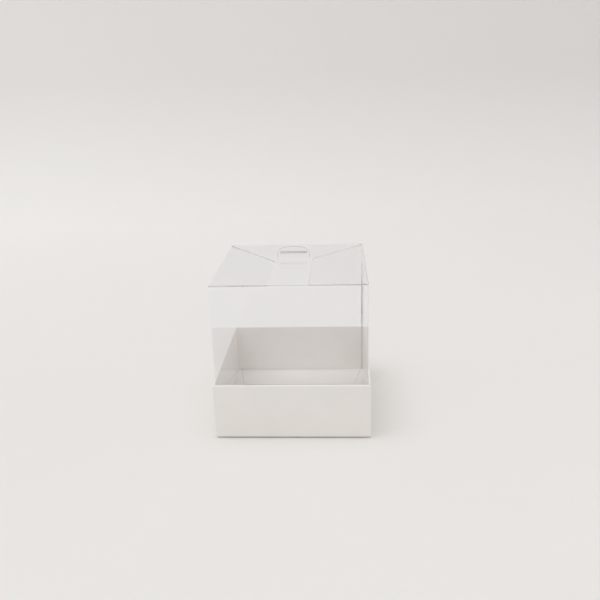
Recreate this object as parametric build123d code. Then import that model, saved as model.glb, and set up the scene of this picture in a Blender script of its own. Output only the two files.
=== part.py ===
"""A clear-topped favor box: a white folded tray with a clear film cover standing in it.

Sizes are in millimetres. X runs left to right, Y runs front to back and Z is up.
The origin is the middle of the tray's underside.
"""

import os

from build123d import *

os.makedirs("parts", exist_ok=True)

# Outside sizes of the clear cover and the white tray.
COVER_WIDTH = 70.0
COVER_DEPTH = 70.0
COVER_HEIGHT = 73.6
TRAY_HEIGHT = 26.6

# Sheet thicknesses and fold radii.
FILM = 0.3
BOARD = 0.4
COVER_CORNER = 0.8
BOARD_FOLD = 0.3

# The top closure. The shares are of the cover's width.
SIDE_FLAP_SHARE = 0.37
BACK_FLAP_SHARE = 0.375
TONGUE_SHARE = 0.232
SLIT_SHARE = 0.79
TONGUE_HEIGHT = 5.7
TONGUE_SHOULDER = 3.6
TONGUE_CROWN = 0.9
SLIT_WIDTH = 0.45
SLIT_RISE = 0.47
FLAP_ROUND = 1.6
LID_ROUND = 2.5
SLOT_ROUND = 0.3

# The glued seam and the lips turned in under the cover.
SEAM_WIDTH = 9.0
END_LIP_SHARE = 0.268
SIDE_LIP_SHARE = 0.11

# The tray's tabs.
CORNER_TAB = 16.0
LOCK_TAB = 9.0
LOCK_SPREAD = 0.27

# Clearances.
COVER_CLEAR = 0.25
LAYER_GAP = 0.1
CREASE_BEAD = 0.14
CREASE_GAP = 0.06
TONGUE_GAP = 0.15
FLAP_EDGE_GAP = 0.4
MITRE_GAP = 0.35
LID_INSET = 0.3
SLOT_FRONT = 1.45
SLOT_BACK = 0.95
SLOT_END = 0.7
TURNOVER_GAP = 0.1
TAB_GAP = 0.2
LOCK_GAP = 0.05

# Positions that follow from the sizes above.
SIDE_X = COVER_WIDTH / 2
END_Y = COVER_DEPTH / 2
INSIDE_X = SIDE_X - FILM
INSIDE_Y = END_Y - FILM
COVER_Z = BOARD
LID_Z = COVER_Z + COVER_HEIGHT - FILM
FLAP_Z = LID_Z - LAYER_GAP - FILM
LID_AXIS_Z = LID_Z + FILM / 2
LID_AXIS_Y = -END_Y + FILM / 2
FLAP_ROOT = CREASE_BEAD + CREASE_GAP
LID_ROOT = FILM / 2 + CREASE_GAP
TONGUE_WIDTH = TONGUE_SHARE * COVER_WIDTH
TONGUE_Y = END_Y - BACK_FLAP_SHARE * COVER_WIDTH
TONGUE_Z = FLAP_Z + FILM / 2
TRAY_INSIDE_X = SIDE_X + COVER_CLEAR
TRAY_INSIDE_Y = END_Y + COVER_CLEAR
SIDE_WALL = 2 * BOARD
END_WALL = 3 * BOARD
TRAY_X = TRAY_INSIDE_X + SIDE_WALL
TRAY_Y = TRAY_INSIDE_Y + END_WALL


def slab(x0, x1, y0, y1, z0, z1):
    """A plain rectangular sheet between two opposite corners."""
    middle = Pos((x0 + x1) / 2, (y0 + y1) / 2, (z0 + z1) / 2)
    return middle * Box(x1 - x0, y1 - y0, z1 - z0)


def sheet(points, z, thickness):
    """A flat panel of any outline lying at height z."""
    outline = make_face(Polyline(*points, close=True))
    return Pos(0, 0, z) * extrude(outline, amount=thickness)


def round_upright(panel, radius, points):
    """Rounds the upright edges of a panel that stand at the given points."""
    chosen = []
    for edge in panel.edges().filter_by(Axis.Z):
        middle = edge.center()
        for x, y in points:
            if abs(middle.X - x) < 0.01 and abs(middle.Y - y) < 0.01:
                chosen.append(edge)
    return fillet(chosen, radius)


def opposite(panel):
    """The same panel on the other side of the box, left for right."""
    return mirror(panel, about=Plane.YZ)


def behind(panel):
    """The same panel at the other end of the box, front for back."""
    return mirror(panel, about=Plane.XZ)


# The white tray


def lock_places():
    """How far the two lock tabs of a wall sit to each side of its middle."""
    return (-LOCK_SPREAD, LOCK_SPREAD)


def tray_floor():
    """The floor panel, with folded edges below and slots for the lock tabs."""
    floor = slab(-TRAY_X, TRAY_X, -TRAY_Y, TRAY_Y, 0, BOARD)
    floor = fillet(floor.faces().sort_by(Axis.Z)[0].edges(), BOARD_FOLD)
    slot_wide = BOARD + 2 * LOCK_GAP
    slot_long = LOCK_TAB + 4 * LOCK_GAP
    end_y = TRAY_INSIDE_Y + BOARD / 2
    side_x = TRAY_INSIDE_X + BOARD / 2
    for share in lock_places():
        for side in (-1, 1):
            end_slot = Box(slot_long, slot_wide, 4 * BOARD)
            floor -= Pos(share * COVER_WIDTH, side * end_y, 0) * end_slot
            side_slot = Box(slot_wide, slot_long, 4 * BOARD)
            floor -= Pos(side * side_x, share * COVER_DEPTH, 0) * side_slot
    return floor


def front_wall():
    """The front's outer ply, as wide as the tray."""
    top = TRAY_HEIGHT - END_WALL / 2
    return slab(-TRAY_X, TRAY_X, -TRAY_Y, -TRAY_Y + BOARD, BOARD, top)


def left_wall():
    """The left side's outer ply, folded at both ends into the corner tabs."""
    top = TRAY_HEIGHT - SIDE_WALL / 2
    end = TRAY_Y - BOARD
    wall = slab(-TRAY_X, -TRAY_X + BOARD, -end, end, BOARD, top)
    return round_upright(wall, BOARD_FOLD, [(-TRAY_X, -end), (-TRAY_X, end)])


def corner_tab():
    """The tab at the front left, caught between the two plies of the front wall."""
    x0 = -TRAY_X + BOARD
    x1 = x0 + CORNER_TAB
    z0 = BOARD + TAB_GAP
    z1 = TRAY_HEIGHT - END_WALL - TAB_GAP
    slope = (z1 - z0) / 6
    outline = Polyline((x0, z0), (x1, z0 + slope), (x1, z1 - slope), (x0, z1), close=True)
    face = make_face(Plane.XZ * outline)
    return Pos(0, -TRAY_Y + BOARD, 0) * extrude(face, amount=BOARD, dir=(0, 1, 0))


def turnover(thickness, half_length, lock_places_along):
    """A wall's rolled rim and inner ply along X, its outer face on y = 0 and +Y inwards."""
    roll = thickness / 2
    rim_z = TRAY_HEIGHT - roll
    rim = Circle(roll) - Pos(0, -roll) * Rectangle(4 * roll, 2 * roll)
    if roll > BOARD:
        rim -= Circle(roll - BOARD)
    rim = Pos(roll, rim_z) * rim
    ply_middle = thickness - BOARD / 2
    ply = Pos(ply_middle, (rim_z + BOARD) / 2) * Rectangle(BOARD, rim_z - BOARD)
    section = Plane.YZ * (rim + ply)
    wall = extrude(section, amount=half_length, both=True)
    for along in lock_places_along:
        tab = Box(LOCK_TAB, BOARD, BOARD - LOCK_GAP)
        wall += Pos(along, ply_middle, BOARD - (BOARD - LOCK_GAP) / 2) * tab
    return wall


def front_turnover():
    """The front wall's turned-over ply."""
    places = [share * COVER_WIDTH for share in lock_places()]
    wall = turnover(END_WALL, TRAY_X - BOARD - TURNOVER_GAP, places)
    return Pos(0, -TRAY_Y, 0) * wall


def left_turnover():
    """The left wall's turned-over ply, between those of the front and back."""
    places = [share * COVER_DEPTH for share in lock_places()]
    wall = turnover(SIDE_WALL, TRAY_INSIDE_Y - TURNOVER_GAP, places)
    return Pos(-TRAY_X, 0, 0) * (Rot(0, 0, -90) * wall)


# The clear cover


def cover_wall(top):
    """All four walls as one square tube of film up to the given height."""
    outside = RectangleRounded(COVER_WIDTH, COVER_DEPTH, COVER_CORNER)
    inside = RectangleRounded(2 * INSIDE_X, 2 * INSIDE_Y, COVER_CORNER - FILM)
    return Pos(0, 0, COVER_Z) * extrude(outside - inside, amount=top - COVER_Z)


def front_share(depth):
    """The part of the plan that is the front wall's, cut at 45 degrees at the corners."""
    past = 1.0
    points = [
        (-SIDE_X - past, -END_Y - past),
        (SIDE_X + past, -END_Y - past),
        (SIDE_X - depth, -END_Y + depth),
        (-SIDE_X + depth, -END_Y + depth),
    ]
    return sheet(points, 0, 2 * COVER_HEIGHT)


def left_share(depth):
    """The part of the plan that is the left wall's."""
    past = 1.0
    points = [
        (-SIDE_X - past, -END_Y - past),
        (-SIDE_X + depth, -END_Y + depth),
        (-SIDE_X + depth, END_Y - depth),
        (-SIDE_X - past, END_Y + past),
    ]
    return sheet(points, 0, 2 * COVER_HEIGHT)


def front_panel():
    """The front wall. Its top edge is rolled round the lid's crease."""
    panel = cover_wall(LID_AXIS_Z) & front_share(5.0)
    roll = Rot(0, 90, 0) * Cylinder(FILM / 2, COVER_WIDTH - 2 * COVER_CORNER)
    return panel + Pos(0, LID_AXIS_Y, LID_AXIS_Z) * roll


def back_panel():
    """The back wall, with the back flap's crease along the inside of its top."""
    panel = behind(cover_wall(FLAP_Z + FILM) & front_share(5.0))
    bead = Rot(0, 90, 0) * Cylinder(CREASE_BEAD, COVER_WIDTH - 2 * COVER_CORNER)
    return panel + Pos(0, INSIDE_Y, FLAP_Z) * bead


def left_panel():
    """The left wall, with the left flap's crease along the inside of its top."""
    panel = cover_wall(FLAP_Z + FILM) & left_share(5.0)
    bead = Rot(90, 0, 0) * Cylinder(CREASE_BEAD, COVER_DEPTH - 2 * COVER_CORNER)
    return panel + Pos(-INSIDE_X, 0, FLAP_Z) * bead


def seam_strip():
    """The right wall's glued strip, lapped inside the back wall."""
    x1 = SIDE_X - COVER_CORNER
    x0 = x1 - SEAM_WIDTH
    z0 = COVER_Z + FILM + TAB_GAP
    z1 = FLAP_Z - 2.0
    taper = SEAM_WIDTH / 4
    outline = Polyline((x1, z0), (x0, z0 + taper), (x0, z1 - taper), (x1, z1), close=True)
    face = make_face(Plane.XZ * outline)
    return Pos(0, INSIDE_Y, 0) * extrude(face, amount=FILM, dir=(0, -1, 0))


def front_lip():
    """The lip turned in under the front wall, lying on the tray's floor."""
    reach = END_LIP_SHARE * COVER_DEPTH
    half = INSIDE_X - COVER_CORNER
    taper = reach / 5
    inner = -INSIDE_Y + reach
    points = [(-half, -INSIDE_Y), (half, -INSIDE_Y), (half - taper, inner), (-half + taper, inner)]
    lip = sheet(points, COVER_Z, FILM)
    return round_upright(lip, FLAP_ROUND, [points[2], points[3]])


def left_lip():
    """The narrower lip turned in under the left wall, between those of the front and back."""
    reach = SIDE_LIP_SHARE * COVER_WIDTH
    half = INSIDE_Y - END_LIP_SHARE * COVER_DEPTH - FLAP_EDGE_GAP
    taper = reach * 0.7
    inner = -INSIDE_X + reach
    points = [(-INSIDE_X, -half), (inner, -half + taper), (inner, half - taper), (-INSIDE_X, half)]
    lip = sheet(points, COVER_Z, FILM)
    return round_upright(lip, FLAP_ROUND, [points[1], points[2]])


# The top closure


def lid_panel():
    """The lid, hinged at the front, with a slot that the tongue stands up through."""
    half = SIDE_X - LID_INSET
    front = LID_AXIS_Y + LID_ROOT
    back = END_Y - LID_INSET
    lid = slab(-half, half, front, back, LID_Z, LID_Z + FILM)
    lid = round_upright(lid, LID_ROUND, [(-half, back), (half, back)])
    slot_long = TONGUE_WIDTH + 2 * SLOT_END
    slot_wide = SLOT_FRONT + SLOT_BACK
    slot = extrude(RectangleRounded(slot_long, slot_wide, SLOT_ROUND), amount=4 * FILM, both=True)
    return lid - Pos(0, TONGUE_Y + (SLOT_BACK - SLOT_FRONT) / 2, LID_Z) * slot


def left_flap():
    """The left flap under the lid, mitred at the back against the back flap."""
    root = -INSIDE_X + FLAP_ROOT
    inner = -SIDE_X + SIDE_FLAP_SHARE * COVER_WIDTH
    front = -INSIDE_Y + FLAP_EDGE_GAP
    mitre_y = END_Y - SIDE_X - MITRE_GAP
    points = [(root, front), (inner, front), (inner, mitre_y - inner), (root, mitre_y - root)]
    flap = sheet(points, FLAP_Z, FILM)
    return round_upright(flap, FLAP_ROUND, [points[1], points[2]])


def back_flap():
    """The back flap under the lid, its front edge rolled round the tongue's crease."""
    root = INSIDE_Y - FLAP_ROOT
    mitre = SIDE_X - END_Y - MITRE_GAP
    wide = mitre + root
    narrow = mitre + TONGUE_Y
    points = [(-wide, root), (-narrow, TONGUE_Y), (narrow, TONGUE_Y), (wide, root)]
    flap = sheet(points, FLAP_Z, FILM)
    roll = Rot(0, 90, 0) * Cylinder(FILM / 2, TONGUE_WIDTH)
    return flap + Pos(0, TONGUE_Y, TONGUE_Z) * roll


def lock_tongue():
    """The tongue that stands up through the lid, crowned on top and slit for a ribbon."""
    half = TONGUE_WIDTH / 2
    foot = FILM / 2 + TONGUE_GAP
    top = LID_Z + FILM - TONGUE_Z + TONGUE_HEIGHT
    side = top - TONGUE_CROWN
    edges = Polyline((half, side), (half, foot), (-half, foot), (-half, side))
    crown = ThreePointArc((-half, side), (0, top), (half, side))
    face = make_face(edges + crown)
    face = fillet(face.vertices().group_by(Axis.Y)[-1], TONGUE_SHOULDER)
    rise = top - TONGUE_HEIGHT * (1 - SLIT_RISE)
    face -= Pos(0, rise) * SlotOverall(SLIT_SHARE * TONGUE_WIDTH, SLIT_WIDTH)
    tongue = extrude(Plane.XZ * face, amount=FILM / 2, both=True)
    return Pos(0, TONGUE_Y, TONGUE_Z) * tongue


pieces = {
    "tray_floor": tray_floor(),
    "tray_front_wall": front_wall(),
    "tray_back_wall": behind(front_wall()),
    "tray_left_wall": left_wall(),
    "tray_right_wall": opposite(left_wall()),
    "tray_front_turnover": front_turnover(),
    "tray_back_turnover": behind(front_turnover()),
    "tray_left_turnover": left_turnover(),
    "tray_right_turnover": opposite(left_turnover()),
    "tray_tab_front_left": corner_tab(),
    "tray_tab_front_right": opposite(corner_tab()),
    "tray_tab_back_left": behind(corner_tab()),
    "tray_tab_back_right": Rot(0, 0, 180) * corner_tab(),
    "cover_front_panel": front_panel(),
    "cover_back_panel": back_panel(),
    "cover_left_panel": left_panel(),
    "cover_right_panel": opposite(left_panel()),
    "cover_seam_strip": seam_strip(),
    "cover_front_lip": front_lip(),
    "cover_back_lip": behind(front_lip()),
    "cover_left_lip": left_lip(),
    "cover_right_lip": opposite(left_lip()),
    "lid_panel": lid_panel(),
    "left_flap_panel": left_flap(),
    "right_flap_panel": opposite(left_flap()),
    "back_flap_panel": back_flap(),
    "lock_tongue": lock_tongue(),
}

for name, piece in pieces.items():
    export_step(piece, f"parts/{name}.step")
    size = piece.bounding_box().size
    print(f"{name}: {size.X:.2f} x {size.Y:.2f} x {size.Z:.2f} mm, {piece.volume:.1f} mm3")
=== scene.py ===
# %% [markdown]
# # A clear favor box in a white tray
# The object is a small box for party favors: a cover folded from one sheet of clear film, standing
# in an open tray folded from white board. The solids of every panel come from the imported model, so
# this lesson starts by loading them as a fixed frame.

# %% Load the frame
import math

import bmesh
import bpy
from mathutils import Matrix, Vector


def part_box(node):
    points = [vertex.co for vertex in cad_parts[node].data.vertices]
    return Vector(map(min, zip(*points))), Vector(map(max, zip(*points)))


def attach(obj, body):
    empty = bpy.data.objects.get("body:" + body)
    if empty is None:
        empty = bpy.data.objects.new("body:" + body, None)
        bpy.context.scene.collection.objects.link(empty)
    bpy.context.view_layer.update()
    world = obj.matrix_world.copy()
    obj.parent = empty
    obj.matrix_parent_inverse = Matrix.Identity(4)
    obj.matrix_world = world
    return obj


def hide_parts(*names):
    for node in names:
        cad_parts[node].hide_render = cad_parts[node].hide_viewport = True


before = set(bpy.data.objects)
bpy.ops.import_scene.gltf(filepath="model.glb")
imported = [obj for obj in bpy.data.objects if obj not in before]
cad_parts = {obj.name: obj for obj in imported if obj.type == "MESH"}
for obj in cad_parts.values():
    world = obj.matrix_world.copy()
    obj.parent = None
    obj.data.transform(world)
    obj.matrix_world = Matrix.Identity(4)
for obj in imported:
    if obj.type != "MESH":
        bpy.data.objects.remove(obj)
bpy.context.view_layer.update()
MM = 0.001
scene = bpy.context.scene

# %% [markdown]
# ## The camera
# The photograph was taken from in front and a little above, slightly to the right of the middle.
# The place, turn, tilt and roll were found by fitting the box's corners to the picture. A camera can
# be aimed with a constraint, but plain angles are easier to read back, so its axes are built from
# them here.

# %% Camera
CAMERA_PLACE = Vector((21.4, -297.1, 160.1)) * MM
CAMERA_TURN = math.radians(3.546)
CAMERA_TILT = math.radians(19.486)
CAMERA_ROLL = math.radians(-1.832)
CAMERA_LENS = 38.58
NEAREST = 10 * MM


def aim(turn, tilt, roll):
    """The camera's rotation from its turn to the left, its tilt downwards and its roll."""
    ahead = Vector((-math.sin(turn) * math.cos(tilt), math.cos(turn) * math.cos(tilt),
                    -math.sin(tilt)))
    level = Vector((math.cos(turn), math.sin(turn), 0.0))
    above = level.cross(ahead)
    right = math.cos(roll) * level + math.sin(roll) * above
    up = math.cos(roll) * above - math.sin(roll) * level
    return Matrix((right, up, -ahead)).transposed()


camera = bpy.data.objects.new("photo_camera", bpy.data.cameras.new("photo_camera"))
camera.data.lens = CAMERA_LENS
camera.data.clip_start = NEAREST
aimed = aim(CAMERA_TURN, CAMERA_TILT, CAMERA_ROLL).to_4x4()
camera.matrix_world = Matrix.Translation(CAMERA_PLACE) @ aimed
scene.collection.objects.link(camera)
scene.camera = camera
scene.view_settings.view_transform = "Standard"
print("camera lens", CAMERA_LENS, "mm at", [round(v, 3) for v in camera.location])

# %% [markdown]
# ## Building with bmesh
# Every new mesh below is built with bmesh operators. The ones that cut want all of its geometry,
# the ones that extrude give back faces, edges and points together, and a bevel is wanted only as a
# plain rounding. Three short functions say that once.

# %% Mesh helpers
ROUND = 0.5


def everything(bm):
    """All the geometry of a bmesh, as the cutting operators want it."""
    return bm.verts[:] + bm.edges[:] + bm.faces[:]


def new_points(geometry):
    """The vertices among what an extrusion made."""
    return [v for v in geometry if isinstance(v, bmesh.types.BMVert)]


def round_off(bm, geometry, radius, steps, affect="EDGES"):
    """Rounds the given edges, or corners of a flat outline, with a number of steps."""
    bmesh.ops.bevel(bm, geom=geometry, offset=radius, segments=steps, profile=ROUND, affect=affect,
                    material=-1)


print("mesh helpers ready")

# %% [markdown]
# ## Floor and backdrop
# The box stands on a sheet of pale paper that runs back and curves up behind it. It is made as a
# real sweep would be: one level run, an upright run, and a wide round bend between them. Two edges
# extruded sideways and a bevel with many segments on the fold between them give just that.

# %% Paper sweep
SWEEP_HALF = 2.0
SWEEP_FRONT = -1.6
SWEEP_BACK = 0.56
SWEEP_TOP = 1.1
SWEEP_BEND = 0.16
SWEEP_SEGMENTS = 24
FLOOR_Z = -0.65 * MM

bm = bmesh.new()
line = [(SWEEP_FRONT, FLOOR_Z), (SWEEP_BACK, FLOOR_Z), (SWEEP_BACK, SWEEP_TOP)]
points = [bm.verts.new((-SWEEP_HALF, y, z)) for y, z in line]
profile = [bm.edges.new(pair) for pair in zip(points, points[1:])]
swept = bmesh.ops.extrude_edge_only(bm, edges=profile)["geom"]
bmesh.ops.translate(bm, verts=new_points(swept), vec=(2 * SWEEP_HALF, 0, 0))
fold = [e for e in bm.edges if len(e.link_faces) == 2]
round_off(bm, fold, SWEEP_BEND, SWEEP_SEGMENTS)
bmesh.ops.recalc_face_normals(bm, faces=bm.faces)
for face in bm.faces:
    face.smooth = True
sweep_mesh = bpy.data.meshes.new("paper_sweep")
bm.to_mesh(sweep_mesh)
bm.free()
sweep = bpy.data.objects.new("paper_sweep", sweep_mesh)
scene.collection.objects.link(sweep)
print("paper sweep with", len(sweep_mesh.polygons), "faces")

# %% [markdown]
# ## Building with nodes
# The finishes and the light of the room are all drawn by nodes. One helper adds a node, sets its
# inputs by name and links it to earlier ones, and three more make the nodes that come up again and
# again. Without them every node would take four or five lines, and the cells below could not show
# what is special about each finish.

# %% Node helpers
COLOUR_INPUTS = (6, 7)
COLOUR_OUTPUT = 2


def add_node(tree, kind, links=None, settings=None, **values):
    """A node with its settings, its plain values and its links to earlier sockets."""
    node = tree.nodes.new(kind)
    for name, value in (settings or {}).items():
        setattr(node, name, value)
    for name, value in values.items():
        node.inputs[name.replace("_", " ")].default_value = value
    for name, socket in (links or {}).items():
        tree.links.new(socket, node.inputs[name])
    return node


def map_range(tree, value, source, target=(0.0, 1.0)):
    """An earlier value, taken from one range to another and held inside it."""
    node = add_node(tree, "ShaderNodeMapRange", links={"Value": value}, From_Min=source[0],
                    From_Max=source[1], To_Min=target[0], To_Max=target[1])
    return node.outputs["Result"]


def mix_tones(tree, share, first, second):
    """The colour between two tones, each a plain colour or the colour of an earlier node."""
    mix = add_node(tree, "ShaderNodeMix", settings={"data_type": "RGBA"}, links={"Factor": share})
    for number, tone in zip(COLOUR_INPUTS, (first, second)):
        if isinstance(tone, tuple):
            mix.inputs[number].default_value = (*tone, 1.0)
        else:
            tree.links.new(tone, mix.inputs[number])
    return mix.outputs[COLOUR_OUTPUT]


def mix_shaders(tree, share, first, second):
    """The shader between two earlier ones."""
    mix = add_node(tree, "ShaderNodeMixShader", links={0: share, 1: first, 2: second})
    return mix.outputs["Shader"]


print("node helpers ready")

# %% [markdown]
# ## Room light
# The light is soft and nearly even, as in a bright room, weaker from the sides than from above. A
# ring of lamps could give that, but each lamp would be mirrored in the film. A world whose strength
# grows with height gives the same softness with nothing to mirror.

# %% World
HORIZON_TO_TOP = (0.0, 1.0)
ROOM_LOW = 0.52
ROOM_HIGH = 1.08
WHITE = (1.0, 1.0, 1.0, 1.0)

world = bpy.data.worlds.new("bright_room")
world.use_nodes = True
room = world.node_tree
ways = add_node(room, "ShaderNodeTexCoord")
apart = add_node(room, "ShaderNodeSeparateXYZ", links={"Vector": ways.outputs["Generated"]})
level = map_range(room, apart.outputs["Z"], HORIZON_TO_TOP, (ROOM_LOW, ROOM_HIGH))
light = room.nodes["Background"]
light.inputs["Color"].default_value = WHITE
room.links.new(level, light.inputs["Strength"])
scene.world = world
print("room light from", ROOM_LOW, "at the horizon to", ROOM_HIGH, "overhead")

# %% [markdown]
# ## Pale surroundings
# Clear film shows what is around it. Past the edges of the sweep the camera would see the light's
# grey gradient, and so would the film. The Light Path node tells these rays apart, so the camera,
# and the rays that film mirrors or lets through, meet the paper's own pale tone there, while the
# light stays as it is.

# %% Tone of the room
ROOM_TONE = (0.80, 0.79, 0.775)

rays = add_node(room, "ShaderNodeLightPath")
seen = add_node(room, "ShaderNodeBackground", Color=(*ROOM_TONE, 1.0))
looked = add_node(room, "ShaderNodeMath", settings={"operation": "MAXIMUM"},
                  links={0: rays.outputs["Is Camera Ray"], 1: rays.outputs["Is Transmission Ray"]})
mirrored = add_node(room, "ShaderNodeMath", settings={"operation": "MAXIMUM"},
                    links={0: looked.outputs["Value"], 1: rays.outputs["Is Glossy Ray"]})
choose = mix_shaders(room, mirrored.outputs["Value"], light.outputs["Background"],
                     seen.outputs["Background"])
room.links.new(choose, room.nodes["World Output"].inputs["Surface"])
print("the room is seen in the tone", ROOM_TONE)

# %% [markdown]
# ## Window light
# In the photograph the tray has a soft shadow at its right, so a little more light comes from the
# upper left. A sun lamp with a very wide angle does that: it lights every part alike, and its shadow
# fades out within a few centimetres, as that of a large window does.

# %% Window
WINDOW_FROM = Vector((-0.50, -0.15, 0.85))
WINDOW_ANGLE = math.radians(40)
WINDOW_STRENGTH = 0.37

window = bpy.data.objects.new("window_light", bpy.data.lights.new("window_light", "SUN"))
window.data.angle = WINDOW_ANGLE
window.data.energy = WINDOW_STRENGTH
window.rotation_euler = (-WINDOW_FROM).to_track_quat("-Z", "Y").to_euler()
scene.collection.objects.link(window)
print("window light of", WINDOW_STRENGTH, "W per square metre")

# %% [markdown]
# ## How far light is followed
# Inside the box, light crosses the film again and again before it reaches the camera, and is
# mirrored to and fro between two faces of the same sheet. The usual limits would end those paths
# early and turn such places black or grey, so the limits are raised.

# %% Light paths
ALL_TURNS = 40
MIRROR_TURNS = 24
CLEAR_CROSSINGS = 64

scene.cycles.max_bounces = ALL_TURNS
scene.cycles.glossy_bounces = MIRROR_TURNS
scene.cycles.transmission_bounces = MIRROR_TURNS
scene.cycles.transparent_max_bounces = CLEAR_CROSSINGS
print("clear crossings followed:", CLEAR_CROSSINGS)


# %% [markdown]
# ## Starting a material
# Every finish of the box begins in the same way: a material with its shader, and the places on the
# piece that its patterns read. Object coordinates are used, because all pieces share one frame, so a
# pattern has the same scale on each of them and needs no unwrapping. What several finishes share is
# a node group, which starts with its named sockets.

# %% Material helpers
def start_material(name):
    """A material with its shader, and the Object coordinates that its patterns read."""
    material = bpy.data.materials.new(name)
    material.use_nodes = True
    shader = material.node_tree.nodes["Principled BSDF"]
    places = add_node(material.node_tree, "ShaderNodeTexCoord")
    return material, material.node_tree, shader, places.outputs["Object"]


def start_group(name, inputs, outputs):
    """A node group with its named inputs and outputs, and the two nodes that hold their sockets."""
    group = bpy.data.node_groups.new(name, "ShaderNodeTree")
    for label, kind in inputs.items():
        group.interface.new_socket(label, in_out="INPUT", socket_type=kind)
    for label in outputs:
        group.interface.new_socket(label, in_out="OUTPUT", socket_type="NodeSocketFloat")
    return group, group.nodes.new("NodeGroupInput"), group.nodes.new("NodeGroupOutput")


print("material helpers ready")

# %% [markdown]
# ## Paper fibre
# Paper and board are pressed from fibres. Close up they show a fine tooth, and over a few
# centimetres a faint cloudiness. The sweep and the tray both need this, so it is one node group with
# a cloud mask and a tooth height, and each material scales it for itself.

# %% Group: paper fibre
fibre, fibre_in, fibre_out = start_group(
    "paper_fibre",
    {"Place": "NodeSocketVector", "Cloud Scale": "NodeSocketFloat",
     "Tooth Scale": "NodeSocketFloat"},
    ["Cloud", "Tooth"])
cloud = add_node(fibre, "ShaderNodeTexNoise", Detail=3.0, Roughness=0.55,
                 links={"Vector": fibre_in.outputs["Place"],
                        "Scale": fibre_in.outputs["Cloud Scale"]})
tooth = add_node(fibre, "ShaderNodeTexNoise", Detail=2.0, Roughness=0.6,
                 links={"Vector": fibre_in.outputs["Place"],
                        "Scale": fibre_in.outputs["Tooth Scale"]})
fibre.links.new(cloud.outputs["Fac"], fibre_out.inputs["Cloud"])
fibre.links.new(tooth.outputs["Fac"], fibre_out.inputs["Tooth"])
print("group", fibre.name, "with", len(fibre.nodes), "nodes")

# %% [markdown]
# ## Paper and board
# The tray's board and the sweep are both matt papers between two close whites, so one function makes
# them from the fibre group. A surface is given by its roughness, the scales of its cloudiness and
# its tooth, and the height of the tooth. Where a paper changes its tone over a longer way, a second
# function draws that change over the fibre's colour.

# %% Paper material
CLOUD_RANGE = (0.3, 0.7)
TOOTH_STRENGTH = 0.35
BOARD_LIGHT = (0.905, 0.869, 0.833)
BOARD_DARK = (0.875, 0.840, 0.805)
BOARD_SURFACE = (0.62, 60.0, 5200.0, 0.03 * MM)


def paper_material(name, light, dark, surface, change=None):
    """A matt paper between two close whites, with a fine tooth and perhaps a change of tone."""
    roughness, cloud_scale, tooth_scale, tooth_height = surface
    material, tree, shader, place = start_material(name)
    grain = add_node(tree, "ShaderNodeGroup", settings={"node_tree": fibre}, links={"Place": place},
                     Cloud_Scale=cloud_scale, Tooth_Scale=tooth_scale)
    clouded = map_range(tree, grain.outputs["Cloud"], CLOUD_RANGE)
    colour = mix_tones(tree, clouded, dark, light)
    if change:
        colour = change(tree, place, colour)
    bump = add_node(tree, "ShaderNodeBump", links={"Height": grain.outputs["Tooth"]},
                    Strength=TOOTH_STRENGTH, Distance=tooth_height)
    tree.links.new(colour, shader.inputs["Base Color"])
    tree.links.new(bump.outputs["Normal"], shader.inputs["Normal"])
    shader.inputs["Roughness"].default_value = roughness
    return material


board = paper_material("white_board", BOARD_LIGHT, BOARD_DARK, BOARD_SURFACE)
print("board in", board.name)

# %% [markdown]
# ## Painted window light on the sweep
# Far back the sweep is a little lighter on the left than on the right, as it is nearer to the window
# there. Lamps could be placed to give that, but they would light the box too, so this light is
# painted into the paper's tone as a slow change.

# %% Sweep paper
SWEEP_LIGHT = (0.845, 0.828, 0.807)
SWEEP_DARK = (0.833, 0.816, 0.796)
SWEEP_SURFACE = (0.9, 6.0, 900.0, 0.1 * MM)
FAR_BACK = (0.02, 0.40)
FAR_ASIDE = (-0.35, 0.35)
# painted light: the far left tone is lighter than the far right, as the window is nearer there
FAR_LEFT_PAINTED_LIGHT = (0.918, 0.903, 0.884)
FAR_RIGHT_PAINTED_DIM = (0.844, 0.827, 0.806)


def painted_far_light(tree, place, colour):
    """The sweep's colour with painted window light: lighter far back on the left than on the right.
    """
    apart = add_node(tree, "ShaderNodeSeparateXYZ", links={"Vector": place})
    back = map_range(tree, apart.outputs["Y"], FAR_BACK)
    aside = map_range(tree, apart.outputs["X"], FAR_ASIDE)
    # painted window light, from the far left to the far right
    far = mix_tones(tree, aside, FAR_LEFT_PAINTED_LIGHT, FAR_RIGHT_PAINTED_DIM)
    return mix_tones(tree, back, colour, far)


sweep_paper = paper_material("sweep_paper", SWEEP_LIGHT, SWEEP_DARK, SWEEP_SURFACE, painted_far_light)
sweep_mesh.materials.append(sweep_paper)
print("sweep in", sweep_paper.name)

# %% [markdown]
# ## The tray's floor
# The board of the floor is darker in its middle than along the front and back folds. The place
# across the floor gives that as a soft mask, with no edge to it.

# %% Floor board
# the floor's board is darker towards its middle, away from the front and back folds
MIDDLE_FADE = (0.014, 0.031)
MIDDLE_TONE = (0.700, 0.672, 0.645)


def darker_middle(tree, place, colour):
    """The board's colour, which turns darker towards the middle of the floor."""
    apart = add_node(tree, "ShaderNodeSeparateXYZ", links={"Vector": place})
    off = add_node(tree, "ShaderNodeMath", settings={"operation": "ABSOLUTE"},
                   links={0: apart.outputs["Y"]})
    fold_share = map_range(tree, off.outputs["Value"], MIDDLE_FADE)
    return mix_tones(tree, fold_share, MIDDLE_TONE, colour)


floor_board = paper_material("floor_board", BOARD_LIGHT, BOARD_DARK, BOARD_SURFACE, darker_middle)
print("tray floor in", floor_board.name)

# %% [markdown]
# ## The tray keeps its solids
# The tray is folded from stiff board, and its floor, rolled walls and corner tabs already have their
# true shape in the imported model: thin plates with small bends. They need no new mesh, so each of
# them only gets the board as its finish.

# %% Board on the tray
tray_panels = [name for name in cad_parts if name.startswith("tray_")]
for name in tray_panels:
    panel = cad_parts[name].data
    panel.materials.clear()
    panel.materials.append(floor_board if name == "tray_floor" else board)
print("board on", len(tray_panels), "tray panels")

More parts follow.
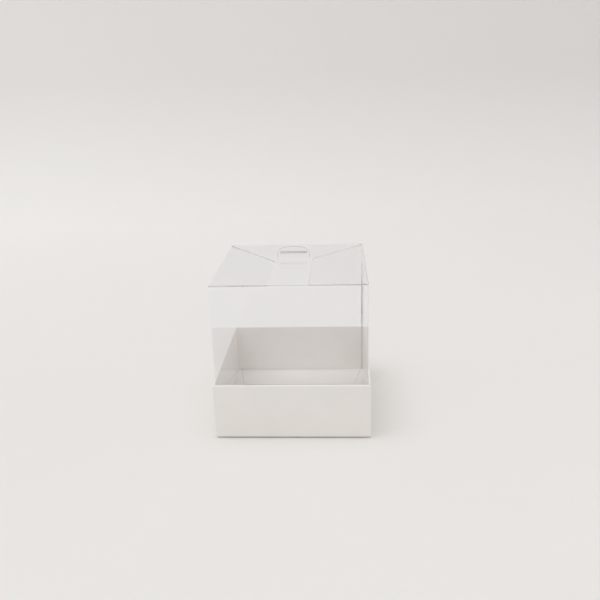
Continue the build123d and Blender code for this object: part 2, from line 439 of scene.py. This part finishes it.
# %% [markdown]
# ## Surface of the film
# Clear film is never perfectly flat. It has long soft waves, which bend what it mirrors, and fine
# scuffs, which dull it in patches. Both the clear faces and the worked lines need them, so they are
# one node group with a wave height and a scuff mask.

# %% Group: film surface
WAVE_SCALE = 38.0

film_skin, skin_in, skin_out = start_group(
    "film_skin", {"Place": "NodeSocketVector", "Scuff Scale": "NodeSocketFloat"}, ["Wave", "Scuff"])
wave = add_node(film_skin, "ShaderNodeTexNoise", Scale=WAVE_SCALE, Detail=1.0,
                links={"Vector": skin_in.outputs["Place"]})
scuff = add_node(film_skin, "ShaderNodeTexNoise", Detail=2.0,
                 links={"Vector": skin_in.outputs["Place"],
                        "Scale": skin_in.outputs["Scuff Scale"]})
film_skin.links.new(wave.outputs["Fac"], skin_out.inputs["Wave"])
film_skin.links.new(scuff.outputs["Fac"], skin_out.inputs["Scuff"])
print("group", film_skin.name, "with", len(film_skin.nodes), "nodes")

# %% [markdown]
# ## Clear film
# The cover is clear film only 0.3 mm thick, so it shifts what is behind it by far less than a hair.
# Glass would bend every ray twice and grow dark where sheets meet, so the film is a thin sheet
# instead: plain Transparent, mixed with a mirror that grows stronger the flatter one looks along it.
# Lamps and soft light pass straight through such a sheet, so shadow rays and diffuse rays see only
# the Transparent part.

# %% Film material
FILM_TINT = (0.9965, 0.9975, 1.0)
FILM_SCUFFS = 120.0
SCUFF_RANGE = (0.35, 0.75)
SCUFF_ROUGHNESS = (0.01, 0.04)
WAVE_HEIGHT = 0.02 * MM
MIRROR_HEAD_ON = 0.03
MIRROR_EDGE_ON = 0.60
MIRROR_POWER = 5.0
FACING_BLEND = 0.5


def mirror_share(tree):
    """How much of the light film mirrors: little head on, and more the flatter it is looked at."""
    facing = add_node(tree, "ShaderNodeLayerWeight", Blend=FACING_BLEND)
    steep = add_node(tree, "ShaderNodeMath", settings={"operation": "POWER"},
                     links={0: facing.outputs["Facing"]})
    steep.inputs[1].default_value = MIRROR_POWER
    share = add_node(tree, "ShaderNodeMath", settings={"operation": "MULTIPLY_ADD"},
                     links={0: steep.outputs["Value"]})
    share.inputs[1].default_value = MIRROR_EDGE_ON - MIRROR_HEAD_ON
    share.inputs[2].default_value = MIRROR_HEAD_ON
    return share.outputs["Value"]


def film_material(name):
    """Clear film as a thin sheet, seen straight through and mirroring a part of the light."""
    material, tree, shader, place = start_material(name)
    tree.nodes.remove(shader)
    skin = add_node(tree, "ShaderNodeGroup", settings={"node_tree": film_skin},
                    links={"Place": place}, Scuff_Scale=FILM_SCUFFS)
    haze = map_range(tree, skin.outputs["Scuff"], SCUFF_RANGE, SCUFF_ROUGHNESS)
    bump = add_node(tree, "ShaderNodeBump", links={"Height": skin.outputs["Wave"]}, Strength=1.0,
                    Distance=WAVE_HEIGHT)
    gloss = add_node(tree, "ShaderNodeBsdfAnisotropic", Color=WHITE,
                     links={"Roughness": haze, "Normal": bump.outputs["Normal"]})
    clear = add_node(tree, "ShaderNodeBsdfTransparent", Color=(*FILM_TINT, 1.0)).outputs["BSDF"]
    sheet = mix_shaders(tree, mirror_share(tree), clear, gloss.outputs["BSDF"])
    rays = add_node(tree, "ShaderNodeLightPath")
    lit = mix_shaders(tree, rays.outputs["Is Shadow Ray"], sheet, clear)
    soft = mix_shaders(tree, rays.outputs["Is Diffuse Ray"], lit, clear)
    tree.links.new(soft, tree.nodes["Material Output"].inputs["Surface"])
    return material


clear_film = film_material("clear_film")
print("clear film mirrors", MIRROR_HEAD_ON, "of the light head on and", MIRROR_EDGE_ON, "edge on")

# %% [markdown]
# ## Worked film
# Where film is bent, creased, cut or glued it loses a little light and shows as a fine grey line.
# These bands are only a fraction of a millimetre wide. A darker film would need a shader of its own
# for each, so they are a grey skin with a low alpha that wanders along the line. The glued corner
# fades towards its foot and its top, as it does in the photograph.

# %% Worked film
PATCH_RANGE = (0.35, 0.65)
HAZE_RANGE = (0.3, 0.7)
HAZE_ROUGHNESS = (0.15, 0.40)
FOOT_FADE = (0.025, 0.029)
TOP_FADE = (0.052, 0.064)


def fade_by_height(tree, place, veil, foot_share, top_share):
    """A veil that thins to a share of itself at the cover's foot and to another at its top."""
    apart = add_node(tree, "ShaderNodeSeparateXYZ", links={"Vector": place})
    foot = map_range(tree, apart.outputs["Z"], FOOT_FADE, (foot_share, 1.0))
    top = map_range(tree, apart.outputs["Z"], TOP_FADE, (1.0, top_share))
    both = add_node(tree, "ShaderNodeMath", settings={"operation": "MULTIPLY"},
                    links={0: foot, 1: top})
    faded = add_node(tree, "ShaderNodeMath", settings={"operation": "MULTIPLY"},
                     links={0: veil, 1: both.outputs["Value"]})
    return faded.outputs["Value"]


def worked_film(name, shade, cover, patch_scale, ends=None):
    """A grey skin on clear film whose cover wanders in a range, and may fade at its ends."""
    material, tree, shader, place = start_material(name)
    skin = add_node(tree, "ShaderNodeGroup", settings={"node_tree": film_skin},
                    links={"Place": place}, Scuff_Scale=patch_scale)
    veil = map_range(tree, skin.outputs["Scuff"], PATCH_RANGE, cover)
    haze = map_range(tree, skin.outputs["Scuff"], HAZE_RANGE, HAZE_ROUGHNESS)
    if ends:
        veil = fade_by_height(tree, place, veil, *ends)
    tree.links.new(veil, shader.inputs["Alpha"])
    tree.links.new(haze, shader.inputs["Roughness"])
    shader.inputs["Base Color"].default_value = (shade, shade, shade, 1.0)
    return material


print("worked film fades at its foot over", FOOT_FADE, "m and at its top over", TOP_FADE, "m")

# %% [markdown]
# ## Bends, creases, cuts and glue
# Each kind of worked line has its own strength in the photograph: a plain bend hardly shows, a
# crease comes and goes along its length, and the slit in the tongue is the darkest line of all. They
# are listed here once, and the faces of the film pick theirs by number.

# %% Film finishes
bent_film = worked_film("bent_film", shade=0.60, cover=(0.01, 0.03), patch_scale=60.0)
creased_film = worked_film("creased_film", shade=0.40, cover=(0.10, 0.22), patch_scale=70.0)
cut_edge = worked_film("cut_film_edge", shade=0.45, cover=(0.15, 0.36), patch_scale=60.0)
mitre_edge = worked_film("mitre_edge", shade=0.38, cover=(0.30, 0.46), patch_scale=60.0)
lip_edge = worked_film("lip_edge", shade=0.45, cover=(0.06, 0.22), patch_scale=60.0)
tongue_edge = worked_film("tongue_edge", shade=0.36, cover=(0.18, 0.32), patch_scale=120.0)
hard_edge = worked_film("hard_cut_edge", shade=0.22, cover=(0.50, 0.65), patch_scale=200.0)
glued_film = worked_film("glued_film", shade=0.50, cover=(0.36, 0.48), patch_scale=80.0,
                         ends=(0.20, 0.10))
glue_layer = worked_film("glue_layer", shade=0.85, cover=(0.002, 0.010), patch_scale=80.0)
FILM_FINISHES = [clear_film, bent_film, creased_film, cut_edge, mitre_edge, lip_edge, tongue_edge,
                 hard_edge, glued_film]
(CLEAR, BENT, CREASE, CUT, MITRE_CUT, LIP_CUT, TONGUE_CUT, HARD_CUT,
 GLUED) = range(len(FILM_FINISHES))
print("film finishes:", [finish.name for finish in FILM_FINISHES])


# %% [markdown]
# ## One helper for every piece of film
# Each panel is modelled in a bmesh whose faces know their finish, and then becomes an object. The
# helper keeps only the finishes that the faces use, lets the piece ride on its body, and hides the
# panel of the imported model that it stands for. Doing this in one place keeps the cells below about
# shape alone.

# %% Turn a bmesh into a piece of film
def film_piece(name, bm, body, node):
    """Makes a finished panel of film from a bmesh, riding on its body in place of its node."""
    used = sorted({face.material_index for face in bm.faces})
    for face in bm.faces:
        face.material_index = used.index(face.material_index)
    mesh = bpy.data.meshes.new(name)
    bm.to_mesh(mesh)
    bm.free()
    for number in used:
        mesh.materials.append(FILM_FINISHES[number])
    piece = bpy.data.objects.new(name, mesh)
    scene.collection.objects.link(piece)
    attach(piece, body)
    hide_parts(node)
    print(f"{name}: {len(mesh.polygons)} faces with {len(used)} finishes on {body}")


print("film helper ready, with", len(FILM_FINISHES), "finishes to choose from")

# %% [markdown]
# ## The skin of a wall
# The real cover is one strip of film folded three times and glued at the back right corner. A wall
# could be a plain plate, but then the corners would be sharp and would not catch the light. Each
# wall is made as the outer skin of its panel instead: a strip raised from a bent line, its corner
# edges bevelled to the film's small bend radius, and cut at 45 degrees where the next panel begins.
# The side and back walls also turn in at the top, where their flaps start.

# %% Skin of a wall
FILM = 0.3 * MM
BEND = 0.8 * MM
BEND_STEPS = 8
ROUND_CORNER = 3 * BEND
TOP_BEND = 0.4 * MM
TOP_STEPS = 5
HAIR = 0.01 * MM
wall_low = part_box("cover_left_panel")[0]
HALF = -wall_low.x
WALL_FOOT = wall_low.z


def corner_cut(bm, side):
    """Cuts a front wall at 45 degrees, on the side that is given."""
    corner = Vector((side * (HALF - BEND), -HALF + BEND, 0))
    inside = Vector((-side, -1, 0)).normalized()
    bmesh.ops.bisect_plane(bm, geom=everything(bm), plane_co=corner + inside * HAIR,
                           plane_no=-inside, clear_outer=True)


def turn_in(bm, top):
    """Turns the top of a front wall inwards, with a small bend."""
    rim = [e for e in bm.edges
           if all(v.co.z > top - HAIR for v in e.verts) and e.calc_length() > HALF]
    lip = bmesh.ops.extrude_edge_only(bm, edges=rim)["geom"]
    bmesh.ops.translate(bm, verts=new_points(lip), vec=(0, TOP_BEND + HAIR, 0))
    round_off(bm, rim, TOP_BEND, TOP_STEPS)


def wall_skin(top, turned_in):
    """The outer skin of a front wall, between its two corner cuts."""
    bm = bmesh.new()
    line = [(-HALF, -HALF + ROUND_CORNER), (-HALF, -HALF), (HALF, -HALF),
            (HALF, -HALF + ROUND_CORNER)]
    points = [bm.verts.new((x, y, WALL_FOOT)) for x, y in line]
    edges = [bm.edges.new(pair) for pair in zip(points, points[1:])]
    raised = bmesh.ops.extrude_edge_only(bm, edges=edges)["geom"]
    bmesh.ops.translate(bm, verts=new_points(raised), vec=(0, 0, top - WALL_FOOT))
    upright = [e for e in bm.edges if len(e.link_faces) == 2]
    round_off(bm, upright, BEND, BEND_STEPS)
    if turned_in:
        turn_in(bm, top)
    for side in (-1, 1):
        corner_cut(bm, side)
    return bm


print("cover", round(2 * HALF / MM, 2), "mm wide, with corner bends of", round(BEND / MM, 2), "mm")

# %% [markdown]
# ## The four walls
# All four walls have the same skin, so it is made at the front, given the film's thickness inwards,
# and turned to its side. The bends at the tops of the front and right walls, where the lid and the
# right flap hinge, show as creased lines, and the back right corner carries the grey of the glued
# seam. Only the bends are shaded smooth, so that the flat faces stay flat.

# %% Film walls
CREASE_BAND = 0.5 * MM
CORNER_BAND = 1.2 * BEND
FLAT = 0.999


def wall_piece(name, turn, turned_in, top_finish, node):
    """Makes a wall of the cover at the front and turns it to its own side."""
    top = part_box(node)[1].z
    bm = wall_skin(top, turned_in)
    bmesh.ops.bisect_plane(bm, geom=everything(bm), plane_co=(0, 0, top - CREASE_BAND),
                           plane_no=(0, 0, 1))
    bmesh.ops.recalc_face_normals(bm, faces=bm.faces)
    if sum(face.normal.y for face in bm.faces) > 0:
        bmesh.ops.reverse_faces(bm, faces=bm.faces)
    bmesh.ops.solidify(bm, geom=bm.faces[:], thickness=FILM)
    bmesh.ops.recalc_face_normals(bm, faces=bm.faces)
    for face in bm.faces:
        face.smooth = max(abs(n) for n in face.normal) < FLAT
        at_top = face.calc_center_median().z > top - CREASE_BAND
        face.material_index = top_finish if at_top else CLEAR
    bmesh.ops.rotate(bm, verts=bm.verts, cent=(0, 0, 0),
                     matrix=Matrix.Rotation(math.radians(turn), 3, "Z"))
    for face in bm.faces:
        middle = face.calc_center_median()
        if min(middle.x, middle.y) > HALF - CORNER_BAND:
            face.material_index = GLUED
        # painted shade: only the front right corner bend gets the faint grey, as it is seen against
        # the shadow beside the tray
        elif min(middle.x, -middle.y) > HALF - CORNER_BAND:
            face.material_index = BENT
    film_piece(name, bm, "cover", node)


wall_piece("film_front_wall", 0, False, CREASE, "cover_front_panel")
wall_piece("film_right_wall", 90, True, CREASE, "cover_right_panel")
wall_piece("film_back_wall", 180, True, CLEAR, "cover_back_panel")
wall_piece("film_left_wall", 270, True, CLEAR, "cover_left_panel")

# %% [markdown]
# ## Flat panels of film
# The lid, the flaps and the lips at the foot are flat sheets with die-cut edges. A cut edge of clear
# film looks like a fine grey line, because light is lost in it. Each sheet starts as its outline,
# its corners are rounded by a vertex bevel, and an inset gives the narrow band along the edge that
# carries the line. Painting the line with a mask would need the outline once more in the material.

# %% Flat film panels
EDGE_BAND = 0.18 * MM
ROUND_STEPS = 8
UPRIGHT = 0.5


def rounded_ring(bm, points, rounds, foot):
    """The edges of a closed outline whose numbered corners are rounded."""
    corners = [bm.verts.new((x, y, foot)) for x, y in points]
    bm.faces.new(corners)
    for number, radius in rounds.items():
        round_off(bm, [corners[number]], radius, ROUND_STEPS, affect="VERTICES")
    face = bm.faces[:][-1]
    edges = face.edges[:]
    bmesh.ops.delete(bm, geom=[face], context="FACES_ONLY")
    return edges


def film_sheet(points, rounds, foot, hole=(), hole_rounds=None, band=EDGE_BAND, thickness=FILM):
    """A flat panel of film from its outline, with rounded corners and a band along its edges."""
    bm = bmesh.new()
    edges = rounded_ring(bm, points, rounds, foot)
    if hole:
        edges += rounded_ring(bm, hole, hole_rounds, foot)
    bmesh.ops.triangle_fill(bm, edges=edges, use_beauty=True)
    bmesh.ops.recalc_face_normals(bm, faces=bm.faces)
    if bm.faces[:][0].normal.z < 0:
        bmesh.ops.reverse_faces(bm, faces=bm.faces)
    rim = bmesh.ops.inset_region(bm, faces=bm.faces[:], thickness=band, use_even_offset=True,
                                 use_boundary=True)
    for face in rim["faces"]:
        face.material_index = CUT
    raised = bmesh.ops.extrude_face_region(bm, geom=bm.faces[:])["geom"]
    bmesh.ops.translate(bm, verts=new_points(raised), vec=(0, 0, thickness))
    bmesh.ops.recalc_face_normals(bm, faces=bm.faces)
    for face in bm.faces:
        if abs(face.normal.z) < UPRIGHT:
            face.material_index = CUT
    return bm


print("edge band", round(EDGE_BAND / MM, 2), "mm")

# %% [markdown]
# ## The lid
# The lid is the cover's top sheet. It hinges on the front wall, its two back corners are rounded,
# and the lock tongue comes up through a slot in it. The slot is a second outline filled together
# with the first, which is cleaner than cutting the hole out afterwards. Its hinge is creased and its
# right edge shows as a cut line, while its back and left edges and the slot hardly show.

# %% Lid
lid_low, lid_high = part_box("lid_panel")
tongue_low, tongue_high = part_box("lock_tongue")
LID_ROUND = 2.5 * MM
SLOT_FRONT = 1.45 * MM
SLOT_BACK = 0.95 * MM
SLOT_END = 0.7 * MM
SLOT_ROUND = 0.3 * MM
tongue_y = (tongue_low.y + tongue_high.y) / 2
slot_x = tongue_high.x + SLOT_END

lid_outline = [(lid_low.x, lid_low.y), (lid_high.x, lid_low.y),
               (lid_high.x, lid_high.y), (lid_low.x, lid_high.y)]
slot_outline = [(-slot_x, tongue_y - SLOT_FRONT), (slot_x, tongue_y - SLOT_FRONT),
                (slot_x, tongue_y + SLOT_BACK), (-slot_x, tongue_y + SLOT_BACK)]
slot_rounds = {number: SLOT_ROUND for number in range(4)}
bm = film_sheet(lid_outline, {2: LID_ROUND, 3: LID_ROUND}, lid_low.z, slot_outline, slot_rounds)
for face in bm.faces:
    middle = face.calc_center_median()
    by_slot = (abs(middle.x) < slot_x + EDGE_BAND
               and abs(middle.y - tongue_y) < SLOT_FRONT + EDGE_BAND)
    if middle.y < lid_low.y + EDGE_BAND:
        face.material_index = CREASE
    elif middle.y > lid_high.y - EDGE_BAND or middle.x < lid_low.x + EDGE_BAND:
        face.material_index = BENT
    elif by_slot:
        face.material_index = CLEAR
film_piece("film_lid", bm, "lid", "lid_panel")

# %% [markdown]
# ## The side flaps
# Two flaps fold in from the side walls under the lid. Their back edges are cut on a slant to meet
# the back flap. Film keeps a little spring, and in the photograph the left flap hangs below the lid,
# so each flap is divided across and its free edge lowered in a curve. A simulation would sag it too,
# but could not be set to the picture as simply. The slanted edges are the plainest lines of the top,
# the left one most of all, so they have stronger finishes than the other cut edges.

# %% Side flaps
FLAP_ROUND = 1.6 * MM
MITRE = 0.35 * MM
LEFT_DROOP = 1.6 * MM
RIGHT_DROOP = 0.2 * MM
BOW_STEPS = 8
BOW_POWER = 1.4
FRONT_HELD = 1.5


def side_flap(name, side, body, node, droop, inner_finish, mitre_finish):
    """Makes a mitred flap under the lid, whose free edge hangs down a little."""
    low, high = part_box(node)
    root, inner = (low.x, high.x) if side < 0 else (high.x, low.x)
    points = [(root, low.y), (inner, low.y), (inner, -MITRE + abs(inner)),
              (root, -MITRE + abs(root))]
    bm = film_sheet(points, {1: FLAP_ROUND, 2: FLAP_ROUND}, low.z)
    for face in bm.faces:
        middle = face.calc_center_median()
        if abs(middle.x - root) < EDGE_BAND:
            face.material_index = BENT
        elif abs(middle.x - inner) < EDGE_BAND:
            face.material_index = inner_finish
        elif face.material_index == CUT and middle.y > low.y + EDGE_BAND:
            face.material_index = mitre_finish
    for step in range(1, BOW_STEPS):
        bmesh.ops.bisect_plane(bm, geom=everything(bm), plane_no=(1, 0, 0),
                               plane_co=(root + (inner - root) * step / BOW_STEPS, 0, 0))
    for vert in bm.verts:
        from_root = (vert.co.x - root) / (inner - root)
        from_front = (vert.co.y - low.y) / (high.y - low.y)
        vert.co.z -= droop * from_root ** BOW_POWER * min(1.0, FRONT_HELD * from_front)
    film_piece(name, bm, body, node)


# painted light: the left flap's inner edge takes the faint bend finish and the right one a cut line,
# though both are cut alike, as the light falls so that the left edge hardly shows
side_flap("film_left_flap", -1, "left_flap", "left_flap_panel", LEFT_DROOP, BENT, HARD_CUT)
side_flap("film_right_flap", 1, "right_flap", "right_flap_panel", RIGHT_DROOP, CUT, MITRE_CUT)

# %% [markdown]
# ## The back flap
# The back flap folds in from the back wall between the two side flaps and narrows to the width of
# the lock tongue, which stands up from its front edge. Four points give its outline. Only the
# slanted edges of the side flaps show in the photograph, so its own edges are kept faint.

# %% Back flap
back_low, back_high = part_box("back_flap_panel")
wide = back_high.x
narrow = tongue_y - MITRE
back_outline = [(-wide, back_high.y), (-narrow, tongue_y), (narrow, tongue_y),
                (wide, back_high.y)]
bm = film_sheet(back_outline, {}, back_low.z)
for face in bm.faces:
    if face.calc_center_median().y < tongue_y + EDGE_BAND:
        face.material_index = CLEAR
    elif face.material_index == CUT:
        face.material_index = BENT
film_piece("film_back_flap", bm, "back_flap", "back_flap_panel")

# %% [markdown]
# ## The lock tongue
# The tongue stands up through the lid and locks it. It has rounded shoulders, a slightly domed top
# and a long narrow slit, whose dark line is the plainest mark on the whole box. The dome is a low
# peak whose tip is rounded by the same vertex bevel as the shoulders, so the outline needs only five
# points.

# %% Outline of the tongue
SHOULDER = 3.6 * MM
CROWN = 0.9 * MM
CROWN_ROUND = 4.2 * MM
SLIT_LONG = 12.83 * MM
SLIT_WIDE = 0.45 * MM
SLIT_RISE = 0.47
SLIT_ROUND = 0.48 * SLIT_WIDE
half_tongue = tongue_high.x
side_z = tongue_high.z - CROWN
peak_z = side_z + CROWN / (1 - CROWN_ROUND / (2 * half_tongue))
slit_z = lid_high.z + (tongue_high.z - lid_high.z) * SLIT_RISE
slit_low, slit_high = slit_z - SLIT_WIDE / 2, slit_z + SLIT_WIDE / 2

tongue_outline = [(-half_tongue, tongue_low.z), (half_tongue, tongue_low.z),
                  (half_tongue, side_z), (0, peak_z), (-half_tongue, side_z)]
tongue_rounds = {3: CROWN_ROUND, 2: SHOULDER, 4: SHOULDER}
slit_outline = [(-SLIT_LONG / 2, slit_low), (SLIT_LONG / 2, slit_low),
                (SLIT_LONG / 2, slit_high), (-SLIT_LONG / 2, slit_high)]
slit_rounds = {number: SLIT_ROUND for number in range(4)}
print("tongue", round(2 * half_tongue / MM, 2), "mm wide, slit", round(SLIT_LONG / MM, 2), "mm long")

# %% [markdown]
# ## Standing the tongue up
# The tongue is drawn lying down, as the flat sheets are, with the slit as its hole, and then stood
# up through the lid. Its root stays clear, because the back flap's edge meets it there, and the rim
# of the slit is far darker than its outer edge.

# %% Tongue
TONGUE_BAND = 0.2 * MM
TONGUE_ROOT = 0.35 * MM

bm = film_sheet(tongue_outline, tongue_rounds, 0.0, slit_outline, slit_rounds, band=TONGUE_BAND)
for face in bm.faces:
    middle = face.calc_center_median()
    if middle.y < tongue_low.z + TONGUE_ROOT:
        face.material_index = CLEAR
    elif face.material_index == CUT:
        over_slit = slit_low - TONGUE_BAND < middle.y < slit_high + TONGUE_BAND
        along_slit = abs(middle.x) < SLIT_LONG / 2 + 2 * TONGUE_BAND
        face.material_index = HARD_CUT if over_slit and along_slit else TONGUE_CUT
bmesh.ops.rotate(bm, verts=bm.verts, cent=(0, 0, 0),
                 matrix=Matrix.Rotation(math.radians(90), 3, "X"))
bmesh.ops.translate(bm, verts=bm.verts, vec=(0, tongue_high.y, 0))
film_piece("film_tongue", bm, "tongue", "lock_tongue")

# %% [markdown]
# ## The lips at the foot
# At the foot the cover ends in four lips, which are turned in and lie on the tray's floor. They are
# flat sheets that narrow towards their free ends. Each one is raised by a few hundredths of a
# millimetre, since two faces in exactly the same place show as dark patches. Their cut edges are
# fainter than the flaps', as board lies right behind them.

# %% Lips
LIP_RAISE = 0.03 * MM
END_TAPER = 0.2
SIDE_TAPER = 0.7


def lip_piece(name, node, along_x, side, taper):
    """Makes a lip turned in under a wall, lying on the tray's floor, narrower at its free end."""
    low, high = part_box(node)
    if not along_x:
        low, high = low.yxz, high.yxz
    root, free = (low.y, high.y) if side < 0 else (high.y, low.y)
    narrow = high.x - taper * (high.y - low.y)
    points = [(-high.x, root), (high.x, root), (narrow, free), (-narrow, free)]
    if not along_x:
        points = [(y, x) for x, y in points]
    bm = film_sheet(points, {2: FLAP_ROUND, 3: FLAP_ROUND}, low.z + LIP_RAISE,
                    thickness=FILM - LIP_RAISE)
    for face in bm.faces:
        middle = face.calc_center_median()
        reach = middle.y if along_x else middle.x
        if abs(reach - root) < EDGE_BAND:
            face.material_index = CLEAR
        elif face.material_index == CUT:
            face.material_index = LIP_CUT
    film_piece(name, bm, "cover", node)


lip_piece("film_front_lip", "cover_front_lip", True, -1, END_TAPER)
lip_piece("film_back_lip", "cover_back_lip", True, 1, END_TAPER)
lip_piece("film_left_lip", "cover_left_lip", False, -1, SIDE_TAPER)
lip_piece("film_right_lip", "cover_right_lip", False, 1, SIDE_TAPER)

# %% [markdown]
# ## The glued strip
# A narrow strip at the end of the right wall is glued inside the back wall and closes the cover. It
# lies flat against that wall, so its solid is right as it is, and the glue between two sheets of
# film is all but invisible. It gets the faintest of the grey skins.

# %% Seam strip
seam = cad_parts["cover_seam_strip"]
seam.data.materials.clear()
seam.data.materials.append(glue_layer)
print("the seam strip keeps its solid, in", glue_layer.name)
